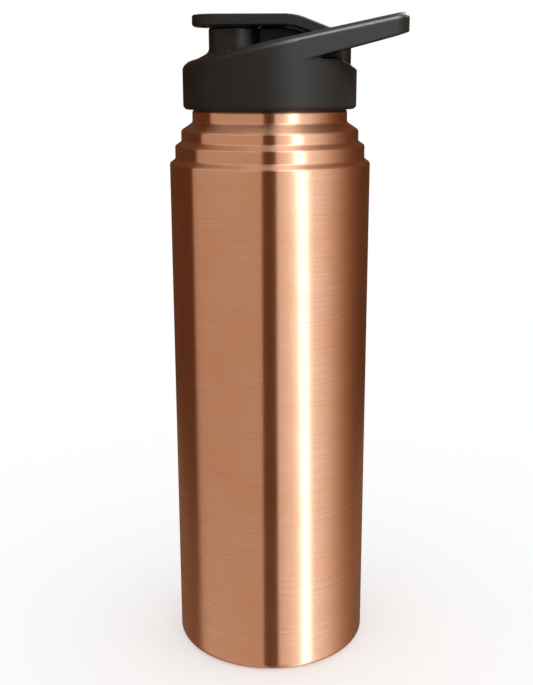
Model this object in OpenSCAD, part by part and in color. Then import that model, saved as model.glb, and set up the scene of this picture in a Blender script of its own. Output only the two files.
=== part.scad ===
// Copper water bottle with a screw-on sipper lid, a carry loop and a flip cap.
// Millimetres, +Z up. The origin is on the bottle's axis, in the plane it stands on.
// The loop points along +X, and the lid is symmetric about the XZ plane.

/* [Bottle] */
// Radius of the straight copper wall
body_r = 36.5; // [35:0.5:40]
// Height at which the straight wall ends and the stepped shoulder begins
body_top = 186.7; // [120:1:230]
// Thickness of the copper sheet
wall = 0.8; // [0.6:0.1:1]
// Radius of the bottom corner
foot_r = 2.5; // [2:0.5:4]
// Height of the base pan above the ground
base_recess = 3.2; // [3:0.1:3.6]

/* [Screw thread] */
// Rise of the lid for one turn
pitch = 3.6; // [3.4:0.1:3.8]
// Turns of thread on the neck ring
neck_turns = 1.5; // [1:0.25:1.5]
// Turns of thread in the inner cap
cap_turns = 1.25; // [1:0.25:1.25]

/* [Lid] */
// Outer radius of the collar
collar_r = 31.2; // [31:0.1:33]
// Slope of the loop's top plane, as rise over run
loop_slope = 0.2155; // [0.18:0.005:0.24]
// Reach of the loop from the bottle's axis
loop_reach = 47.8; // [47:0.2:52]
// Radius of the loop's two outer corners in plan
loop_corner_r = 7; // [6:0.5:8]
// Depth and width of the bevel round the lid's top
bevel = [1.8, 2.0]; // [1.2:0.1:2.4]

/* [Spout] */
// Distance of the spout's axis from the bottle's axis
spout_x = -12.5; // [-13:0.1:-12]
// Outer radius of the spout
spout_r = 9.15; // [8.8:0.05:9.4]
// Radius of the drinking bore
spout_bore_r = 6.9; // [6.5:0.1:7.2]

/* [Flip cap] */
// Half of the flip cap's width
flip_half = 11.2; // [10.8:0.1:11.3]
// Thickness of the flip cap
flip_t = 3.9; // [3.7:0.1:4.2]
// How far the thumb end stands out from the bottle's axis
flip_end = 27.4; // [26:0.2:30]
// Hinge pin radius
pin_r = 1.5; // [1.2:0.1:1.6]

/* [Hidden] */
$fn = 96;

eps = 0.2;
far = 200;
fit = 0.05;

// Shoulder: neck and two steps, each joined to the next by an S-shaped flare
neck_r = 28;
step_r = [neck_r + 0.49 * (body_r - neck_r), neck_r + 0.76 * (body_r - neck_r)];
flare_slope = 56;
flare_r = [1.2, 1.0, 1.3];
step_h = [3.55, 2.65];
body_flare_top = body_top + flare_h(step_r[1], body_r, flare_r[0]);
step2_top = body_flare_top + step_h[0];
step2_flare_top = step2_top + flare_h(step_r[0], step_r[1], flare_r[1]);
step1_top = step2_flare_top + step_h[1];
neck_foot = step1_top + flare_h(neck_r, step_r[0], flare_r[2]);
neck_h = 3.6;
neck_top = neck_foot + neck_h;

// Lid heights are counted from the collar's lower edge
lid_z = neck_top + 0.3;
cavity_h = 13.1;
cavity_r = collar_r - 1.8;
skirt_h = 13.5;
shelf_h = 17.3;
ramp_slope = 0.462;
rim_h = 20.8;
crest_h = rim_h + bevel[0];
bevel_step = [0.45 * bevel[0], 0.25 * bevel[1]];
arm_x = 9.1;
arm_bottom_h = 15.9;
arm_bottom_slope = 0.2573;
side_angle = 14.9;
side_slope = tan(side_angle);
side_start = (collar_r - 0.1) * [sin(side_angle), cos(side_angle)];
foot_chamfer = 0.9;
hole_x = [28.4, loop_reach - 6];
hole_half = 12;
hole_corner_r = 4;
pedestal_half = 13;
pedestal_h = 21.4;
slot_x = 11.5;
slot_half = 11.7;
flare_foot = [13.8, 17.3];
flare_tan = 0.5;
root_r = 2.6;

// Finish of the neck
spigot_r = 25.4;
lip_h = 10.2;
lip_r = 26.4;
ring_r = 26.5;
ring_h = 9;
thread_h = 1.1;
thread_w = [1.7, 0.8];
thread_z = 2.4;
thread_steps = 24;

// Inner cap and gasket
cap_bore_r = cavity_r - 1.4;
ceiling_h = 11.9;
plug_rib_r = [22.2, 23.4];
plug_rib_h = 8.4;
gasket_gap = [0.15, 0.1, 0.2];

// Spout and its seal
spout_top = 28;
flange_r = 11.4;
flange_t = 1.2;
seal_r = [8, 9.6];
seal_t = 0.7;

// Flip cap
flip_bottom = 28.4;
flip_top = flip_bottom + flip_t;
hinge_x = 24;
hinge_h = 23.4;
barrel_r = 2.9;
bend_x = 5;
bend_r = 21.5;
bend_angle = 21.8;
flip_corner_r = 9.5;
skin = 2;
vent_x = 4;
vent_r = 1;
vent_boss_r = 2.9;
vent_flange_r = 2.4;
vent_seat = 0.9;
vent_peg_r = 1.6;
vent_peg_h = 1.7;
bridge_half = 3;
bridge_bend = [9, 27.5];
bridge_end = [16, 24.9];
plug_r = [8.6, 6.75, 6.2];
plug_seat = 1.1;
plug_depth = 3.1;
pin_y = [-23.6, 25.2];

// Height of an S-shaped flare between two radii
function flare_h(r_in, r_out, r) =
    2 * r * sin(flare_slope)
    + (r_out - r_in - 2 * r * (1 - cos(flare_slope))) / tan(flare_slope);

// The points of such a flare, from its top inner end down to its lower outer end
function flare(r_in, r_out, z_top, r, shift = [0, 0]) =
    let (z_low = z_top - flare_h(r_in, r_out, r))
    concat(
        [for (a = [0:14:flare_slope]) shift + [r_in + r * (1 - cos(a)), z_top - r * sin(a)]],
        [for (a = [flare_slope:-14:0]) shift + [r_out - r * (1 - cos(a)), z_low + r * sin(a)]]
    );

// The shoulder's profile, from the neck down to the straight wall
function shoulder(shift = [0, 0]) = concat(
    flare(neck_r, step_r[0], neck_foot, flare_r[2], shift),
    flare(step_r[0], step_r[1], step2_flare_top, flare_r[1], shift),
    flare(step_r[1], body_r, body_flare_top, flare_r[0], shift)
);

function arc(centre, r, from, to, step) =
    [for (i = [0:step]) let (a = from + (to - from) * i / step) centre + r * [cos(a), sin(a)]];

// Height of the loop's rim plane over a point of the lid
function rim_at(x) = rim_h + loop_slope * x;
function crest_at(x) = crest_h + loop_slope * x;
function arm_bottom_at(x) = arm_bottom_h + arm_bottom_slope * (x - arm_x);

// Extrudes a side profile, drawn in X and Z, by half each way along Y
module side(half) {
    rotate([90, 0, 0]) linear_extrude(2 * half, center = true) children();
}

// A slice of the plan outline that follows the loop's sloping plane
module slice(height) {
    multmatrix([[1, 0, 0, 0], [0, 1, 0, 0], [loop_slope, 0, 1, height], [0, 0, 0, 1]])
        linear_extrude(0.01) children();
}

// A helical ridge of trapezoid section, on a post when crest_r > root_r and in a bore otherwise
module thread(root_r, crest_r, z, turns, start) {
    count = round(turns * thread_steps);
    out = crest_r > root_r;
    points = [for (i = [0:count]) let (
            a = start + 360 * turns * i / count,
            fade = min(1, i / 4, (count - i) / 4),
            r = root_r + (crest_r - root_r) * (0.3 + 0.7 * fade),
            mid = z + pitch * turns * i / count,
            w = thread_w[1] + (thread_w[0] - thread_w[1]) * (1 - fade) * 0.5
        ) each [
            [root_r * cos(a), root_r * sin(a), mid - thread_w[0] / 2],
            [r * cos(a), r * sin(a), mid - w / 2],
            [r * cos(a), r * sin(a), mid + w / 2],
            [root_r * cos(a), root_r * sin(a), mid + thread_w[0] / 2]
        ]];
    last = 4 * count;
    sides = [for (i = [0:count - 1], j = [0:3]) let (k = 4 * i, n = (j + 1) % 4)
        each [[k + j, k + n, k + 4 + n], [k + j, k + 4 + n, k + 4 + j]]];
    caps = [[2, 1, 0], [3, 2, 0], [last, last + 1, last + 2], [last, last + 2, last + 3]];
    faces = concat(sides, caps);
    polyhedron(points, out ? faces : [for (f = faces) [f[2], f[1], f[0]]]);
}

// Spun copper shell: straight wall, stepped shoulder, neck, spigot and rolled lip
module bottle_shell() {
    inner = [-wall, -0.55 * wall];
    lip_top = lid_z + lip_h;
    color([0.78, 0.45, 0.32]) rotate_extrude() polygon(concat(
        [[spigot_r, neck_top], [neck_r - 0.7, neck_top]],
        arc([neck_r - 0.7, neck_top - 0.7], 0.7, 60, 0, 3),
        shoulder(),
        arc([body_r - foot_r, foot_r], foot_r, 0, -90, 6),
        [[body_r - foot_r - 2.5, 0], [body_r - foot_r - 2.5, wall]],
        arc([body_r - foot_r, foot_r], foot_r - wall, -90, 0, 6),
        [for (i = [len(shoulder()) - 1:-1:0]) shoulder(inner)[i]],
        [[neck_r - wall, neck_top - wall], [spigot_r - wall, neck_top - wall]],
        [[spigot_r - wall, lip_top - 0.4], [spigot_r - 0.4, lip_top], [lip_r - 0.4, lip_top]],
        arc([lip_r - 0.5, lip_top - 0.5], 0.5, 60, 0, 3),
        [[lip_r, lip_top - 1.2], [spigot_r, lip_top - 1.2]]
    ));
}

// Pressed copper pan that closes the bottom, its flange brazed inside the wall
module base_pan() {
    r = body_r - wall;
    color([0.72, 0.40, 0.28]) rotate_extrude() polygon([
        [0, base_recess], [r, base_recess], [r, base_recess + 5], [r - wall, base_recess + 5],
        [r - wall, base_recess + wall], [0, base_recess + wall]
    ]);
}

// Threaded copper ring, brazed round the neck's spigot
module neck_ring() {
    color([0.70, 0.42, 0.30]) {
        translate([0, 0, lid_z]) {
            rotate_extrude() polygon([
                [spigot_r, -0.2], [ring_r, -0.2], [ring_r, ring_h - 0.4],
                [ring_r - 0.4, ring_h], [spigot_r, ring_h]
            ]);
            thread(ring_r - 0.3, ring_r + thread_h, thread_z, neck_turns, 0);
        }
    }
}

// Half of the loop's outline beyond the collar: a straight side and a round corner
function loop_side() =
    let (
        n = sqrt(1 + side_slope * side_slope),
        cx = loop_reach - loop_corner_r,
        cy = side_start[1] - side_slope * (cx - side_start[0]) - loop_corner_r * n
    )
    concat([side_start], arc([cx, cy], loop_corner_r, atan2(1, side_slope), 0, 8));

// Plan outline of the loop, pulled in by inset
module loop_plan(inset) {
    half = loop_side();
    offset(delta = -inset) polygon(concat(
        [[0, -side_start[1]], [0, side_start[1]]],
        half,
        [for (i = [len(half) - 1:-1:0]) [half[i][0], -half[i][1]]]
    ));
}

// A rectangle with round corners on its +X side
module blunt(x, half, r) {
    translate([x[0], -half]) square([x[1] - r - x[0], 2 * half]);
    translate([x[1] - r - 1, r - half]) square([r + 1, 2 * (half - r)]);
    for (s = [-1, 1]) translate([x[1] - r, s * (half - r)]) circle(r);
}

// Moulded collar, sloping top, hinge pedestal and carry loop in one piece
module lid_shell() {
    ramp_x = collar_r - (shelf_h - skirt_h) / ramp_slope;
    color([0.13, 0.13, 0.13]) translate([0, 0, lid_z]) difference() {
        union() {
            intersection() {
                union() {
                    cylinder(h = foot_chamfer, r1 = collar_r - foot_chamfer, r2 = collar_r);
                    translate([0, 0, foot_chamfer]) cylinder(h = far, r = collar_r);
                }
                side(far) polygon([
                    [-far, 0], [far, 0], [far, skirt_h], [collar_r, skirt_h], [ramp_x, shelf_h],
                    [arm_x, shelf_h], [arm_x, rim_at(arm_x)], [-far, rim_at(-far)]
                ]);
            }
            intersection() {
                linear_extrude(far) loop_plan(0);
                side(far) polygon([
                    [2, arm_bottom_at(2)], [far, arm_bottom_at(far)],
                    [far, rim_at(far)], [2, rim_at(2)]
                ]);
            }
            hull() {
                slice(rim_h - eps) {
                    circle(collar_r - 0.05);
                    loop_plan(0.02);
                }
                slice(rim_h + bevel_step[0]) {
                    circle(collar_r - bevel_step[1]);
                    loop_plan(bevel_step[1]);
                }
                slice(crest_h) {
                    circle(collar_r - bevel[1]);
                    loop_plan(bevel[1]);
                }
            }
            translate([spout_x, 0, 0]) spout_root();
            translate([0, 0, cavity_h + 1]) linear_extrude(pedestal_h - cavity_h - 1)
                blunt([5, hole_x[0]], pedestal_half, 4);
            bridge();
        }
        translate([0, 0, -1]) cylinder(h = cavity_h + 1, r = cavity_r);
        translate([spout_x, 0, 0]) {
            cylinder(h = far, r = spout_r);
            cylinder(h = cavity_h + flange_t, r = flange_r);
        }
        translate([vent_x, 0, 0]) cylinder(h = far, r = vent_r);
        difference() {
            translate([slot_x, -slot_half, pedestal_h])
                cube([hole_x[0] - slot_x + 0.1, 2 * slot_half, far]);
            bridge();
        }
        translate([0, 0, arm_bottom_at(hole_x[0]) - 4]) linear_extrude(far) finger_hole();
        translate([hinge_x, 0, hinge_h]) rotate([90, 0, 0]) {
            cylinder(h = 2 * slot_half, r = barrel_r + 0.6, center = true);
            translate([0, 0, -pin_y[1] - 2]) cylinder(h = pin_y[1] - pin_y[0] + 2, r = pin_r);
        }
        translate([slot_x + 1, -slot_half + 1.2, cavity_h - 1])
            cube([hole_x[0] - slot_x - 4.5, 2 * slot_half - 2.4, pedestal_h - cavity_h - 3.4]);
    }
}

// Rib from the spout to the hinge, close under the flip cap; it carries the air vent
module bridge() {
    root_x = spout_x + spout_r - 1;
    side(bridge_half) polygon([
        [root_x, shelf_h], [root_x, spout_top], [vent_x + 1, spout_top],
        bridge_bend, bridge_end, [bridge_end[0], shelf_h]
    ]);
}

// Opening of the carry loop, from the pedestal's face to the tip bar
module finger_hole() {
    blunt(hole_x, hole_half, hole_corner_r);
}

// Flared root that blends the spout into the sloping top
module spout_root() {
    angle = atan(flare_tan);
    cr = spout_r + root_r;
    cz = flare_foot[1] + (flare_foot[0] - cr) * flare_tan + root_r / cos(angle);
    foot = flare_foot[0] + 3;
    rotate_extrude() polygon(concat(
        [[spout_r - 1, cz]],
        arc([cr, cz], root_r, 180, 270 - angle, 6),
        [[foot, flare_foot[1] - 3 * flare_tan], [foot, cavity_h + 1.5], [spout_r - 1, cavity_h + 1.5]]
    ));
}

// Threaded liner snapped into the collar; its ceiling carries the gasket and the spout's seal
module inner_cap() {
    color([0.20, 0.20, 0.20]) translate([0, 0, lid_z]) {
        difference() {
            rotate_extrude() polygon([
                [0, ceiling_h], [plug_rib_r[0], ceiling_h], [plug_rib_r[0], plug_rib_h],
                [plug_rib_r[1], plug_rib_h], [plug_rib_r[1], ceiling_h], [cap_bore_r, ceiling_h],
                [cap_bore_r, 1], [cap_bore_r + 0.4, 0.6], [cavity_r, 0.6], [cavity_r, cavity_h],
                [0, cavity_h]
            ]);
            translate([spout_x, 0, 0]) cylinder(h = far, r = spout_bore_r);
            translate([vent_x, 0, 0]) cylinder(h = far, r = vent_r);
        }
        thread(cap_bore_r + 0.3, cap_bore_r - thread_h, thread_z, cap_turns, 180);
    }
}

// Flat silicone ring between the neck's lip and the inner cap
module lid_gasket() {
    color([0.85, 0.85, 0.82]) translate([0, 0, lid_z + lip_h + gasket_gap[0]]) difference() {
        cylinder(h = ceiling_h - lip_h - gasket_gap[0] - gasket_gap[1], r = cap_bore_r - gasket_gap[2]);
        translate([0, 0, -1]) cylinder(h = 9, r = plug_rib_r[1] + gasket_gap[2]);
    }
}

// Mouthpiece: a tube with a flange that the inner cap holds up against the lid
module spout() {
    lip = 0.8;
    color([0.15, 0.15, 0.15]) translate([spout_x, 0, lid_z]) rotate_extrude() polygon(concat(
        [
            [spout_bore_r, cavity_h], [seal_r[0], cavity_h], [seal_r[0], cavity_h + seal_t],
            [seal_r[1], cavity_h + seal_t], [seal_r[1], cavity_h], [flange_r, cavity_h],
            [flange_r, cavity_h + flange_t], [spout_r, cavity_h + flange_t]
        ],
        arc([spout_r - lip, spout_top - lip], lip, 0, 90, 4),
        arc([spout_bore_r + 0.5, spout_top - 0.5], 0.5, 90, 180, 4)
    ));
}

// Silicone ring in the groove under the spout's flange
module spout_seal() {
    color([0.85, 0.85, 0.82]) translate([spout_x, 0, lid_z + cavity_h]) difference() {
        cylinder(h = seal_t, r = seal_r[1]);
        translate([0, 0, -1]) cylinder(h = seal_t + 2, r = seal_r[0]);
    }
}

// Side profile of the flip cap: a flat thumb end that bends down to the hinge barrel
module flip_profile() {
    centre = [bend_x, flip_top - bend_r];
    end_angle = 90 - bend_angle;
    under_angle = end_angle + acos((barrel_r - flip_t) / barrel_r) - 360;
    edge = 0.6;
    polygon(concat(
        [[-flip_end, flip_bottom + edge], [-flip_end, flip_top - edge], [-flip_end + edge, flip_top]],
        arc(centre, bend_r, 90, end_angle, 8),
        arc([hinge_x, hinge_h], barrel_r, end_angle, under_angle, 24),
        arc(centre, bend_r - flip_t, end_angle, 90, 8),
        [[-flip_end + edge, flip_bottom]]
    ));
}

// Plan of the flip cap, pulled in by inset, from the thumb end to x
module flip_plan(x, inset) {
    mirror([1, 0]) blunt([-x, flip_end - inset], flip_half - inset, flip_corner_r - inset);
}

// Flip cap: hollow plate with a boss for each plug, and the hinge barrel
module flip_cap() {
    seat = spout_top + vent_seat;
    color([0.13, 0.13, 0.13]) translate([0, 0, lid_z]) difference() {
        intersection() {
            side(flip_half) flip_profile();
            linear_extrude(far) flip_plan(hinge_x + barrel_r, 0);
        }
        difference() {
            translate([0, 0, flip_bottom - 1]) linear_extrude(flip_t - skin + 1)
                flip_plan(bend_x, skin);
            translate([spout_x, 0, 0]) cylinder(h = far, r = plug_r[0] + 1.6);
            translate([vent_x, 0, seat]) cylinder(h = far, r = vent_boss_r);
        }
        translate([spout_x, 0, 0]) {
            cylinder(h = flip_bottom + plug_seat, r = plug_r[0]);
            cylinder(h = flip_bottom + plug_seat + 1.3, r = 2.5);
        }
        translate([vent_x, 0, 0]) {
            cylinder(h = seat, r = vent_flange_r);
            cylinder(h = seat + vent_peg_h, r = vent_peg_r);
        }
        translate([hinge_x, 0, hinge_h]) rotate([90, 0, 0])
            cylinder(h = 4 * flip_half, r = pin_r + fit, center = true);
    }
}

// Silicone plug that closes the spout; it clears the bore on the hinge's arc
module spout_plug() {
    low = spout_top - plug_depth;
    seat = flip_bottom + plug_seat;
    color([0.20, 0.20, 0.20]) translate([spout_x, 0, lid_z]) rotate_extrude() polygon([
        [0, low], [plug_r[2] - 0.8, low], [plug_r[2], low + 0.8], [plug_r[2], spout_top - 1.6],
        [plug_r[1], spout_top - 1.1], [plug_r[1], spout_top - 0.6], [plug_r[1] - 0.3, spout_top - 0.3],
        [plug_r[1] - 0.3, spout_top + 0.25], [plug_r[0], spout_top + 0.25], [plug_r[0], seat],
        [2.5, seat], [2.5, seat + 1.3], [0, seat + 1.3]
    ]);
}

// Silicone pip that closes the air vent
module vent_plug() {
    seat = spout_top + vent_seat;
    color([0.20, 0.20, 0.20]) translate([vent_x, 0, lid_z]) rotate_extrude() polygon([
        [0, spout_top - 0.9], [0.5, spout_top - 0.9], [0.8, spout_top + 0.1],
        [vent_flange_r, spout_top + 0.3], [vent_flange_r, seat], [vent_peg_r, seat],
        [vent_peg_r, seat + vent_peg_h], [0, seat + vent_peg_h]
    ]);
}

// Steel pin, pressed into the arms of the loop from the back
module hinge_pin() {
    color([0.75, 0.75, 0.77]) translate([hinge_x, 0, lid_z + hinge_h]) rotate([90, 0, 0])
        translate([0, 0, -pin_y[1]]) cylinder(h = pin_y[1] - pin_y[0], r = pin_r);
}

bottle_shell();
base_pan();
neck_ring();
lid_shell();
inner_cap();
lid_gasket();
spout();
spout_seal();
flip_cap();
spout_plug();
vent_plug();
hinge_pin();
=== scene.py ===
"""Copper water bottle with a sipper lid: the looks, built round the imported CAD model."""
import math

import bmesh
import bpy
from mathutils import Matrix, Vector
from mathutils.bvhtree import BVHTree


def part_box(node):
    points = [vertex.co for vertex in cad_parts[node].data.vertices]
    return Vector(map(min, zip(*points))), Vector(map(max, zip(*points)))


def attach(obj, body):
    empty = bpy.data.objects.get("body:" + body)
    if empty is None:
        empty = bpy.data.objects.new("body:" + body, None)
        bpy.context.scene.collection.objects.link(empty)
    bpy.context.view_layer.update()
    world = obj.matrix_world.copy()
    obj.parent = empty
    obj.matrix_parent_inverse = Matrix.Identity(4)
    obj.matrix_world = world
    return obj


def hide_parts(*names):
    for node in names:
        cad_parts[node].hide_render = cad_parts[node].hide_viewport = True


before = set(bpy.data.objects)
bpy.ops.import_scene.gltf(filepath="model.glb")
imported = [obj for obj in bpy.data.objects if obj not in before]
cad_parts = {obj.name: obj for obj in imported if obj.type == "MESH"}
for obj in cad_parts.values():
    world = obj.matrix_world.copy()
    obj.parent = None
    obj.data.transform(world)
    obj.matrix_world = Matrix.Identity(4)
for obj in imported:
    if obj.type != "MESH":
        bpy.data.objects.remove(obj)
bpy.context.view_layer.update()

MM = 0.001


# ---------------------------------------------------------------- places read from the frame
def node_box(node):
    """Lowest and highest corner of a CAD node."""
    low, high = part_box(node)
    return Vector(low), Vector(high)


shell_high = node_box("bottle_shell")[1]
lid_high = node_box("lid_shell")[1]
pan_low, pan_high = node_box("base_pan")
ring_low, ring_high = node_box("neck_ring")

BODY_R = shell_high.x
LIP_TOP = shell_high.z
NECK_TOP = ring_low.z


# ---------------------------------------------------------------- small node helpers
class Nodes:
    """A material's node tree, with short calls to add and join nodes."""

    def __init__(self, name):
        self.material = bpy.data.materials.new(name)
        self.material.use_nodes = True
        self.tree = self.material.node_tree
        self.tree.nodes.clear()
        self.output = self.add("ShaderNodeOutputMaterial")

    def add(self, kind, **settings):
        node = self.tree.nodes.new(kind)
        for key, value in settings.items():
            setattr(node, key, value)
        return node

    def join(self, source, target):
        self.tree.links.new(source, target)

    def set(self, socket, value):
        """Gives a socket a plain value, or joins it to another socket."""
        if isinstance(value, bpy.types.NodeSocket):
            self.join(value, socket)
        else:
            socket.default_value = value

    def math(self, operation, a, b=0.0, clamp=False):
        node = self.add("ShaderNodeMath", operation=operation, use_clamp=clamp)
        self.set(node.inputs[0], a)
        self.set(node.inputs[1], b)
        return node.outputs[0]

    def remap(self, value, from_min, from_max, to_min, to_max, smooth=False):
        kind = "SMOOTHSTEP" if smooth else "LINEAR"
        node = self.add("ShaderNodeMapRange", interpolation_type=kind)
        for socket, item in zip(node.inputs[:5], (value, from_min, from_max, to_min, to_max)):
            self.set(socket, item)
        return node.outputs[0]

    def place(self):
        """Position on the object at rest, in metres."""
        return self.add("ShaderNodeTexCoord").outputs["Object"]

    def stretched(self, vector, scale):
        node = self.add("ShaderNodeVectorMath", operation="MULTIPLY")
        self.join(vector, node.inputs[0])
        node.inputs[1].default_value = scale
        return node.outputs[0]

    def noise(self, vector, scale, detail=2.0, roughness=0.5):
        node = self.add("ShaderNodeTexNoise")
        self.join(vector, node.inputs["Vector"])
        node.inputs["Scale"].default_value = scale
        node.inputs["Detail"].default_value = detail
        node.inputs["Roughness"].default_value = roughness
        return node.outputs["Fac"]

    def mix(self, factor, a, b):
        node = self.add("ShaderNodeMix", data_type="RGBA")
        self.set(node.inputs["Factor"], factor)
        self.set(node.inputs[6], a)
        self.set(node.inputs[7], b)
        return node.outputs[2]

    def bump(self, height, strength, distance, normal=None):
        node = self.add("ShaderNodeBump")
        node.inputs["Strength"].default_value = strength
        node.inputs["Distance"].default_value = distance
        self.join(height, node.inputs["Height"])
        if normal is not None:
            self.join(normal, node.inputs["Normal"])
        return node.outputs["Normal"]

    def shader(self, **inputs):
        """Principled shader; names use _ for a space."""
        node = self.add("ShaderNodeBsdfPrincipled")
        for key, value in inputs.items():
            self.set(node.inputs[key.replace("_", " ")], value)
        self.join(node.outputs["BSDF"], self.output.inputs["Surface"])
        return node


# ---------------------------------------------------------------- materials
COPPER = (0.93, 0.54, 0.36, 1)
COPPER_RED = (0.91, 0.51, 0.33, 1)
COPPER_PALE = (0.95, 0.58, 0.41, 1)
COPPER_DEEP = (0.80, 0.42, 0.27, 1)


def brushed_copper(name, line=1.0, rough=0.20, spread=1.0):
    """Copper brushed round its axis, which blurs what it reflects up and down, not sideways.

    The flares of the shoulder, which a polishing belt can't reach, are more matt.
    """
    n = Nodes(name)
    place = n.place()
    long_lines = n.noise(n.stretched(place, (14, 14, 2600)), 1.0, 3.0, 0.6)
    short_lines = n.noise(n.stretched(place, (150, 150, 7000)), 1.0, 2.0, 0.6)
    grain = n.noise(place, 2600, 2.0, 0.6)
    cloud = n.noise(place, 38, 3.0, 0.55)
    tone = n.mix(n.remap(cloud, 0.35, 0.68, 0, 1), COPPER_RED, COPPER_PALE)
    tone = n.mix(n.remap(short_lines, 0.3, 0.72, 0, 0.5), tone, COPPER)
    lines = n.math("ADD", n.math("MULTIPLY", long_lines, 0.6), n.math("MULTIPLY", short_lines, 0.4))
    tone = n.mix(n.remap(lines, 0.42, 0.68, 0, 0.6), tone, COPPER_DEEP)
    roughness = n.math("ADD", n.remap(lines, 0.3, 0.7, rough - 0.04, rough + 0.06),
                       n.remap(cloud, 0.3, 0.7, -0.01, 0.02))
    facing = n.add("ShaderNodeSeparateXYZ")
    n.join(n.add("ShaderNodeNewGeometry").outputs["Normal"], facing.inputs[0])
    roughness = n.math("ADD", roughness, n.remap(facing.outputs["Z"], 0.05, 0.5, 0, 0.17))
    height = n.math("ADD", lines, n.math("MULTIPLY", grain, 0.35))
    tangent = n.add("ShaderNodeTangent", direction_type="RADIAL", axis="Z")
    shader = n.shader(Base_Color=tone, Metallic=1.0, Roughness=roughness, Anisotropic=spread,
                      Anisotropic_Rotation=0.25, Normal=n.bump(height, 0.11 * line, 0.00006))
    n.join(tangent.outputs[0], shader.inputs["Tangent"])
    return n.material


def turned_copper(name):
    """Machined copper of the thread ring."""
    n = Nodes(name)
    place = n.place()
    lines = n.noise(n.stretched(place, (60, 60, 5200)), 1.0, 2.0, 0.6)
    cloud = n.noise(place, 120, 3.0, 0.6)
    tone = n.mix(n.remap(cloud, 0.3, 0.7, 0, 1), COPPER_RED, COPPER)
    n.shader(Base_Color=tone, Metallic=1.0, Roughness=n.remap(lines, 0.3, 0.7, 0.24, 0.36),
             Normal=n.bump(lines, 0.12, 0.00005))
    return n.material


def moulded_plastic(name, dark, light, rough=0.43, grain=1.0):
    """Satin moulded plastic: spark-eroded grain, faint flow clouds and edges polished by handling."""
    n = Nodes(name)
    place = n.place()
    fine = n.noise(place, 3200, 2.0, 0.6)
    coarse = n.noise(place, 850, 2.0, 0.5)
    cloud = n.noise(place, 55, 3.0, 0.6)
    tone = n.mix(n.remap(cloud, 0.3, 0.7, 0, 1), (*dark, 1), (*light, 1))
    edge = n.remap(n.add("ShaderNodeNewGeometry").outputs["Pointiness"], 0.52, 0.57, 0, 1)
    roughness = n.math("SUBTRACT", n.remap(cloud, 0.3, 0.7, rough - 0.03, rough + 0.04),
                       n.math("MULTIPLY", edge, 0.10))
    roughness = n.math("ADD", roughness, n.remap(fine, 0.3, 0.7, -0.04, 0.04))
    height = n.math("ADD", fine, n.math("MULTIPLY", coarse, 0.6))
    n.shader(Base_Color=tone, Roughness=roughness, IOR=1.47, Specular_IOR_Level=0.36,
             Normal=n.bump(height, 0.30 * grain, 0.00010))
    return n.material


def silicone(name, colour, clear):
    """Soft silicone with a matt skin."""
    n = Nodes(name)
    place = n.place()
    skin = n.noise(place, 1800, 2.0, 0.6)
    cloud = n.noise(place, 90, 2.0, 0.5)
    pale = tuple(min(1.0, 1.08 * c) for c in colour)
    tone = n.mix(n.remap(cloud, 0.3, 0.7, 0, 1), (*colour, 1), (*pale, 1))
    n.shader(Base_Color=tone, Roughness=n.remap(skin, 0.3, 0.7, 0.42, 0.56), IOR=1.41,
             Transmission_Weight=clear, Subsurface_Weight=0.15, Subsurface_Radius=(0.002, 0.002, 0.002),
             Normal=n.bump(skin, 0.08, 0.00004))
    return n.material


def pin_steel(name):
    """Drawn stainless wire, with lines along the pin."""
    n = Nodes(name)
    place = n.place()
    lines = n.noise(n.stretched(place, (5200, 60, 5200)), 1.0, 2.0, 0.6)
    tone = n.mix(lines, (0.56, 0.57, 0.58, 1), (0.68, 0.68, 0.69, 1))
    n.shader(Base_Color=tone, Metallic=1.0, Roughness=n.remap(lines, 0.3, 0.7, 0.22, 0.34),
             Normal=n.bump(lines, 0.1, 0.00003))
    return n.material


materials = {
    "brushed_copper": brushed_copper("brushed_copper"),
    "base_copper": brushed_copper("base_copper", line=1.4, rough=0.28, spread=0.4),
    "ring_copper": turned_copper("ring_copper"),
    "black_lid": moulded_plastic("black_lid", (0.0048, 0.0042, 0.0038), (0.0066, 0.0058, 0.0052)),
    "black_flip": moulded_plastic("black_flip", (0.0048, 0.0045, 0.0042), (0.0064, 0.0060, 0.0056)),
    "spout_plastic": moulded_plastic("spout_plastic", (0.0052, 0.0050, 0.0048), (0.0070, 0.0067, 0.0064),
                                     rough=0.32, grain=0.6),
    "inner_plastic": moulded_plastic("inner_plastic", (0.013, 0.0125, 0.012), (0.017, 0.016, 0.0155),
                                     rough=0.42),
    "clear_silicone": silicone("clear_silicone", (0.78, 0.78, 0.74), clear=0.35),
    "black_silicone": silicone("black_silicone", (0.022, 0.021, 0.020), clear=0.0),
    "pin_steel": pin_steel("pin_steel"),
}


# ---------------------------------------------------------------- mesh helpers
def new_object(name, mesh, slot, body):
    """Puts a mesh in the scene with its material, its slot and the body it rides on."""
    piece = bpy.data.objects.new(name, mesh)
    bpy.context.scene.collection.objects.link(piece)
    mesh.materials.clear()
    mesh.materials.append(materials[slot])
    for polygon in mesh.polygons:
        polygon.use_smooth = True
    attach(piece, body)
    return piece


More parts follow.
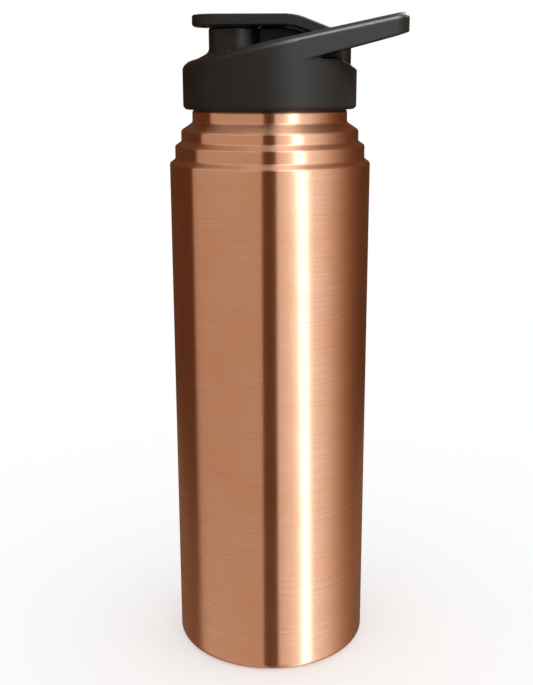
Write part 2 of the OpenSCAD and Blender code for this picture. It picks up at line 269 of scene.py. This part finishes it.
def turned(name, outline, slot, body, steps=320):
    """A closed outline of (radius, height) points, turned round the bottle's axis."""
    mesh = bpy.data.meshes.new(name)
    points, faces, rows = [], [], []
    for radius, height in outline:
        if radius < 1e-9:
            rows.append([len(points)] * steps)
            points.append((0, 0, height))
            continue
        rows.append(range(len(points), len(points) + steps))
        for i in range(steps):
            a = 2 * math.pi * i / steps
            points.append((radius * math.cos(a), radius * math.sin(a), height))
    closed = outline[0][0] > 1e-9 and outline[-1][0] > 1e-9
    pairs = list(zip(rows, rows[1:])) + ([(rows[-1], rows[0])] if closed else [])
    for low, high in pairs:
        for i in range(steps):
            j = (i + 1) % steps
            ring = list(dict.fromkeys((low[i], low[j], high[j], high[i])))
            if len(ring) > 2:
                faces.append(ring)
    mesh.from_pydata(points, [], faces)
    work = bmesh.new()
    work.from_mesh(mesh)
    bmesh.ops.recalc_face_normals(work, faces=work.faces)
    work.to_mesh(mesh)
    work.free()
    return new_object(name, mesh, slot, body)


def arc(centre, radius, start, end, step=9):
    """Points of an arc in (radius, height), angles in degrees."""
    count = max(2, round(abs(end - start) / step))
    out = []
    for i in range(count + 1):
        a = math.radians(start + (end - start) * i / count)
        out.append((centre[0] + radius * math.cos(a), centre[1] + radius * math.sin(a)))
    return out


def evaluated_mesh(source):
    graph = bpy.context.evaluated_depsgraph_get()
    return bpy.data.meshes.new_from_object(source.evaluated_get(graph))


def moulded(node, slot, body, voxel, softness):
    """A CAD node with every edge softened as a mould leaves it, while its faces stay exact.

    The copy is remeshed finely and smoothed; then each point that is still close to the
    CAD surface goes back onto it, so that only the edges are changed.
    """
    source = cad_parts[node]
    mesh = source.data.copy()
    surface = BVHTree.FromPolygons([v.co.copy() for v in mesh.vertices],
                                   [tuple(p.vertices) for p in mesh.polygons])
    work = bpy.data.objects.new(node + "_work", mesh)
    bpy.context.scene.collection.objects.link(work)
    remesh = work.modifiers.new("remesh", "REMESH")
    remesh.mode = "VOXEL"
    remesh.voxel_size = voxel
    smooth = work.modifiers.new("smooth", "SMOOTH")
    smooth.factor = 0.5
    smooth.iterations = softness
    soft = evaluated_mesh(work)
    bpy.data.objects.remove(work)
    near, far = 0.03 * MM, 0.09 * MM
    for vertex in soft.vertices:
        point, _, _, distance = surface.find_nearest(vertex.co)
        if point is None:
            continue
        t = min(1.0, max(0.0, (distance - near) / (far - near)))
        vertex.co = point.lerp(vertex.co, t * t * (3 - 2 * t))
    soft.update()
    piece = new_object(node + "_moulded", soft, slot, body)
    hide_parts(node)
    return piece


# ---------------------------------------------------------------- camera
# Place in millimetres, tilt and roll in degrees.
CAMERA_PLACE = (-1.46, -378.4, 216.7)
CAMERA_DOWN = 14.5
CAMERA_ROLL = -0.2
CAMERA_LENS = 53.56


def make_camera():
    data = bpy.data.cameras.new("camera")
    camera = bpy.data.objects.new("camera", data)
    bpy.context.scene.collection.objects.link(camera)
    data.sensor_width = 36
    data.lens = CAMERA_LENS
    camera.location = Vector(CAMERA_PLACE) * MM
    tilt = Matrix.Rotation(math.radians(90 - CAMERA_DOWN), 3, "X")
    roll = Matrix.Rotation(math.radians(CAMERA_ROLL), 3, "Z")
    camera.rotation_euler = (tilt @ roll).to_euler()
    bpy.context.scene.camera = camera


# ---------------------------------------------------------------- stage: floor, sky and light tent
# A light tent stands round the bottle, and its light depends on the direction, in degrees:
# 0 is the side of the camera and positive is to the right. Its lamps are plain levels of light.
ROOM = 0.10
ROOM_FOOT = 0.22
LEFT_PANEL = 0.38
LEFT_PANEL_FROM, LEFT_PANEL_TO = -96, -9
PANEL_FADE, GAP_FADE = 2.5, 0.4
RIGHT_LAMP = 0.90
RIGHT_LAMP_FROM = 7
RIGHT_LAMP_AT, RIGHT_LAMP_HALF = 38, 38
KEY = 2.4
KEY_AT, KEY_HALF = 36, 5
BACKDROP = 0.35
BACKDROP_FROM, BACKDROP_FADE = 173, 2
TOP_GAIN = 1.5
TOP_LEVELS = (0.15, 0.55)
# The brighter foot begins below a plane that falls towards the camera: its slope and two levels.
FOOT_SLOPE = 0.294
FOOT_LEVELS = (-0.35, -0.30)
# A look setting that makes dim light redder: each channel takes the level to one of these powers.
WARMTH = (1.0, 1.35, 1.65)
# The lamps on the right lean: their direction turns with height, by this many degrees a metre.
LEAN = 17.0
LEAN_LEVEL = 0.11
LEAN_FULL = 30.0


def lobe(n, turn, at, half):
    """1 in the direction at, a half at half degrees to either side, and soft beyond."""
    off = n.math("DIVIDE", n.math("SUBTRACT", turn, at), half)
    return n.math("POWER", 0.5, n.math("MULTIPLY", off, off))


def panel(n, turn, start, end, soft_start, soft_end):
    """1 from start to end, with soft ends."""
    rise = n.remap(turn, start - soft_start, start + soft_start, 0, 1, smooth=True)
    fall = n.remap(turn, end - soft_end, end + soft_end, 1, 0, smooth=True)
    return n.math("MULTIPLY", rise, fall)


def tent_material():
    n = Nodes("tent")
    n.material.cycles.emission_sampling = "NONE"
    place = n.add("ShaderNodeSeparateXYZ")
    n.join(n.place(), place.inputs[0])
    x, y, z = place.outputs
    turn = n.math("MULTIPLY", n.math("ARCTAN2", x, n.math("MULTIPLY", y, -1.0)), 180 / math.pi)
    share = n.remap(turn, 0, LEAN_FULL, 0, LEAN, smooth=True)
    turn = n.math("SUBTRACT", turn, n.math("MULTIPLY", share, n.math("SUBTRACT", LEAN_LEVEL, z)))

    left = panel(n, turn, LEFT_PANEL_FROM, LEFT_PANEL_TO, PANEL_FADE, GAP_FADE)
    left = n.math("MULTIPLY", left, LEFT_PANEL)
    right = n.math("MULTIPLY", lobe(n, turn, RIGHT_LAMP_AT, RIGHT_LAMP_HALF), RIGHT_LAMP)
    key = n.math("MULTIPLY", lobe(n, turn, KEY_AT, KEY_HALF), KEY)
    gate = n.remap(turn, RIGHT_LAMP_FROM - GAP_FADE, RIGHT_LAMP_FROM + GAP_FADE, 0, 1, smooth=True)
    lamps = n.math("ADD", left, n.math("MULTIPLY", gate, n.math("ADD", right, key)))
    behind = n.remap(n.math("ABSOLUTE", turn), BACKDROP_FROM - BACKDROP_FADE, BACKDROP_FROM + BACKDROP_FADE,
                     0, BACKDROP, smooth=True)
    foot = n.math("SUBTRACT", z, n.math("MULTIPLY", y, FOOT_SLOPE))
    room = n.remap(foot, *FOOT_LEVELS, ROOM_FOOT, ROOM, smooth=True)
    level = n.math("ADD", n.math("ADD", lamps, behind), room)
    level = n.math("MULTIPLY", level, n.remap(z, *TOP_LEVELS, 1, TOP_GAIN, smooth=True))

    light = n.add("ShaderNodeEmission")
    colour = n.add("ShaderNodeCombineColor")
    dim = n.math("MINIMUM", level, 1.0)
    bright = n.math("MAXIMUM", level, 1.0)
    for socket, power in zip(colour.inputs, WARMTH):
        n.join(n.math("MULTIPLY", n.math("POWER", dim, power), bright), socket)
    n.join(colour.outputs[0], light.inputs["Color"])
    n.join(light.outputs[0], n.output.inputs["Surface"])
    return n.material


def softbox(name, centre, away, size, radiance, lit):
    """A soft box that faces against the direction away; it lights only the pieces in lit."""
    data = bpy.data.lights.new(name, "AREA")
    data.shape = "RECTANGLE"
    data.size, data.size_y = size
    data.energy = radiance * math.pi * size[0] * size[1]
    lamp = bpy.data.objects.new(name, data)
    lamp.location = centre
    lamp.rotation_euler = away.to_track_quat("Z", "Y").to_euler()
    lamp.visible_camera = False
    bpy.context.scene.collection.objects.link(lamp)
    lamp.light_linking.receiver_collection = lit
    return lamp


# Name, direction round and above the lid in degrees, distance, size and radiance.
LID_BOXES = (
    ("box_right", 47, 48, 0.70, (0.24, 0.20), 62.0),
    ("box_front", 0, 46, 0.70, (0.26, 0.10), 9.0),
    ("box_rim", 140, 30, 0.58, (0.26, 0.26), 14.0),
)


def light_lid(pieces):
    """Soft boxes that give the black lid its bright edges."""
    lit = bpy.data.collections.new("lid_pieces")
    for piece in pieces:
        lit.objects.link(piece)
    aim = Vector((0, 0, lid_high.z))
    for name, turn, rise, reach, size, radiance in LID_BOXES:
        turn, rise = math.radians(turn), math.radians(rise)
        away = Vector((math.sin(turn) * math.cos(rise), -math.cos(turn) * math.cos(rise), math.sin(rise)))
        softbox(name, aim + reach * away, away, size, radiance, lit)


def make_stage():
    scene = bpy.context.scene
    scene.view_settings.view_transform = "Standard"
    world = bpy.data.worlds.new("sky")
    world.use_nodes = True
    world.node_tree.nodes["Background"].inputs["Color"].default_value = (1, 1, 1, 1)
    world.node_tree.nodes["Background"].inputs["Strength"].default_value = 1.0
    world.cycles.sampling_method = "NONE"
    scene.world = world

    floor_mesh = bpy.data.meshes.new("floor")
    reach = 30.0
    corners = [(-reach, -reach, 0), (reach, -reach, 0), (reach, reach, 0), (-reach, reach, 0)]
    floor_mesh.from_pydata(corners, [], [(0, 1, 2, 3)])
    floor = bpy.data.objects.new("floor", floor_mesh)
    scene.collection.objects.link(floor)
    n = Nodes("floor")
    white = 0.72
    n.shader(Base_Color=(white, white, white, 1), Roughness=1.0, Specular_IOR_Level=0.0,
             Emission_Color=(1, 1, 1, 1), Emission_Strength=1.01 - white)
    n.material.cycles.emission_sampling = "NONE"
    floor_mesh.materials.append(n.material)
    floor.visible_glossy = False

    tent_mesh = bpy.data.meshes.new("tent")
    radius, low, high, steps = 0.7, -2.2, 2.6, 180
    points = []
    for z in (low, high):
        for i in range(steps):
            a = 2 * math.pi * i / steps
            points.append((radius * math.cos(a), radius * math.sin(a), z))
    faces = [(i, (i + 1) % steps, steps + (i + 1) % steps, steps + i) for i in range(steps)]
    faces.append(range(steps))
    tent_mesh.from_pydata(points, [], faces)
    tent_mesh.materials.append(tent_material())
    tent = bpy.data.objects.new("tent", tent_mesh)
    scene.collection.objects.link(tent)
    tent.visible_camera = False
    tent.visible_diffuse = False
    tent.visible_transmission = False
    tent.visible_shadow = False


# ---------------------------------------------------------------- copper pieces
FLARE_SLOPE = 56
NECK_R, SPIGOT_R, LIP_R, BAND_R = 28.0, 25.4, 26.4, 26.5
WALL = 0.8


def flare(inner, outer, top, radius):
    """An S-shaped flare, from its top inner end down to its lower outer end."""
    s = math.radians(FLARE_SLOPE)
    height = 2 * radius * math.sin(s) + (outer - inner - 2 * radius * (1 - math.cos(s))) / math.tan(s)
    upper = arc((inner + radius, top), radius, 180, 180 + FLARE_SLOPE, 4)
    lower = arc((outer - radius, top - height), radius, FLARE_SLOPE, 0, 4)
    return upper + lower, top - height


def shoulder(offset=0.0, drop=0.0):
    """Outline of the shoulder from the neck down to the wall, in millimetres."""
    body = BODY_R / MM
    neck = NECK_R
    steps = (neck + 0.49 * (body - neck), neck + 0.76 * (body - neck))
    top = NECK_TOP / MM - 3.7
    out = []
    for inner, outer, radius, wall in ((neck, steps[0], 1.3, 2.65), (steps[0], steps[1], 1.0, 3.55),
                                       (steps[1], body, 1.2, 0)):
        points, bottom = flare(inner, outer, top, radius)
        out += points
        top = bottom - wall
    return [(r - offset, z - drop) for r, z in out]


def copper_body():
    """The spun shell: foot, straight wall, stepped shoulder, neck, spigot and rolled lip."""
    body, lip = BODY_R / MM, LIP_TOP / MM
    neck, spigot, wall, foot = NECK_R, SPIGOT_R, WALL, 2.5
    top = NECK_TOP / MM - 0.1
    outline = [(spigot, top)]
    outline += arc((neck - 0.9, top - 0.9), 0.9, 90, 0)
    outline += shoulder()
    outline += arc((body - foot, foot), foot, 0, -90, 6)
    outline += [(body - foot - 2.1, 0), (body - foot - 2.5, 0.15), (body - foot - 2.5, wall - 0.1)]
    outline += arc((body - foot, foot), foot - wall, -90, 0, 10)
    outline += [(r, z) for r, z in reversed(shoulder(wall, 0.55 * wall))]
    outline += [(neck - wall, top - wall), (spigot - wall, top - wall), (spigot - wall, lip - 0.5)]
    outline += arc((spigot - wall + 0.5, lip - 0.5), 0.5, 180, 90, 15)
    outline += arc((LIP_R - 0.55, lip - 0.55), 0.55, 90, -60, 15)
    outline += [(spigot, lip - 1.1)]
    piece = turned("copper_body", [(r * MM, z * MM) for r, z in outline], "brushed_copper", "bottle")
    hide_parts("bottle_shell")
    return piece


def base_plate():
    """The pressed pan, with two turned beads that stiffen it."""
    r, low = pan_high.x / MM, pan_low.z / MM
    wall, flange = WALL, (pan_high.z - pan_low.z) / MM

    def bead(centre, width, depth, height, outward):
        ends = (centre - width, centre + width) if outward else (centre + width, centre - width)
        out = []
        for i in range(9):
            t = i / 8
            out.append((ends[0] + (ends[1] - ends[0]) * t, height + depth * math.sin(math.pi * t) ** 2))
        return out

    beads = ((11, 2.2, 0.6), (24, 2.4, 0.7))
    outline = [(0, low)]
    for centre, width, depth in beads:
        outline += bead(centre, width, depth, low, True)
    outline += arc((r - 0.9, low + 0.9), 0.9, -90, 0, 15)
    outline += [(r, low + flange), (r - wall, low + flange)]
    outline += [(r - wall, low + wall + 0.3), (r - wall - 0.3, low + wall)]
    for centre, width, depth in reversed(beads):
        outline += bead(centre, width, depth, low + wall, False)
    outline += [(0, low + wall)]
    piece = turned("base_plate", [(a * MM, b * MM) for a, b in outline], "base_copper", "bottle", 240)
    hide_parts("base_pan")
    return piece


# Thread of the neck ring, in millimetres: its start is above the ring's lower end.
THREAD_PITCH, THREAD_TURNS = 3.6, 1.5
THREAD_START = 2.6
THREAD_ROOT_W, THREAD_CREST_W = 1.7, 0.8
THREAD_STEPS = 160


def add_thread(piece, root, crest):
    """Adds a helical ridge with a rounded crest, which rises and dies away over its ends."""
    count = round(THREAD_TURNS * THREAD_STEPS)
    fade_steps = THREAD_STEPS / 6
    work = bmesh.new()
    work.from_mesh(piece.data)
    rows = []
    for i in range(count + 1):
        turn = 2 * math.pi * i / THREAD_STEPS
        fade = min(1.0, i / fade_steps, (count - i) / fade_steps)
        top = root + (crest - root) * (0.3 + 0.7 * fade)
        middle = NECK_TOP / MM + THREAD_START + THREAD_PITCH * i / THREAD_STEPS
        half, flat = THREAD_ROOT_W / 2, THREAD_CREST_W / 2
        section = [(root, -half), (top - 0.12, -flat - 0.05), (top, -flat + 0.12)]
        section += [(r, -z) for r, z in reversed(section)]
        rows.append([work.verts.new((r * MM * math.cos(turn), r * MM * math.sin(turn), (middle + z) * MM))
                     for r, z in section])
    ridge = [work.faces.new(rows[0]), work.faces.new(rows[-1])]
    for low, high in zip(rows, rows[1:]):
        for j in range(len(low)):
            k = (j + 1) % len(low)
            ridge.append(work.faces.new((low[j], low[k], high[k], high[j])))
    bmesh.ops.recalc_face_normals(work, faces=ridge)
    for face in ridge:
        face.smooth = True
    work.to_mesh(piece.data)
    work.free()


def thread_ring():
    """The ring on the neck: a turned band, chamfered at its ends, with its thread."""
    bore, band, low, high = SPIGOT_R, BAND_R, ring_low.z / MM, ring_high.z / MM
    outline = [(bore, low), (band - 0.15, low), (band, low + 0.15)]
    outline += [(band, high - 0.4), (band - 0.12, high - 0.12), (band - 0.4, high), (bore, high)]
    piece = turned("thread_ring", [(r * MM, z * MM) for r, z in outline], "ring_copper", "bottle")
    add_thread(piece, band - 0.3, ring_high.x / MM)
    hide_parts("neck_ring")
    return piece


# ---------------------------------------------------------------- the model
def dress(node, slot, bevel=None):
    """A CAD node that keeps its shape: its material, and its sharp edges broken a little."""
    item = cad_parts[node]
    for place in item.material_slots:
        place.material = materials[slot]
    if bevel:
        edge = item.modifiers.new("edge", "BEVEL")
        edge.width = bevel * MM
        edge.segments = 2
        edge.limit_method = "ANGLE"
        edge.angle_limit = math.radians(35)
    return item


make_camera()
make_stage()
copper_body()
base_plate()
black = [
    moulded("lid_shell", "black_lid", "lid", voxel=0.36 * MM, softness=6),
    moulded("flip_cap", "black_flip", "flip", voxel=0.30 * MM, softness=6),
    dress("spout", "spout_plastic"),
    dress("inner_cap", "inner_plastic"),
    dress("spout_plug", "black_silicone", 0.12),
    dress("vent_plug", "black_silicone", 0.1),
    dress("hinge_pin", "pin_steel", 0.15),
]
thread_ring()
dress("lid_gasket", "clear_silicone", 0.15)
dress("spout_seal", "clear_silicone", 0.1)
light_lid(black)
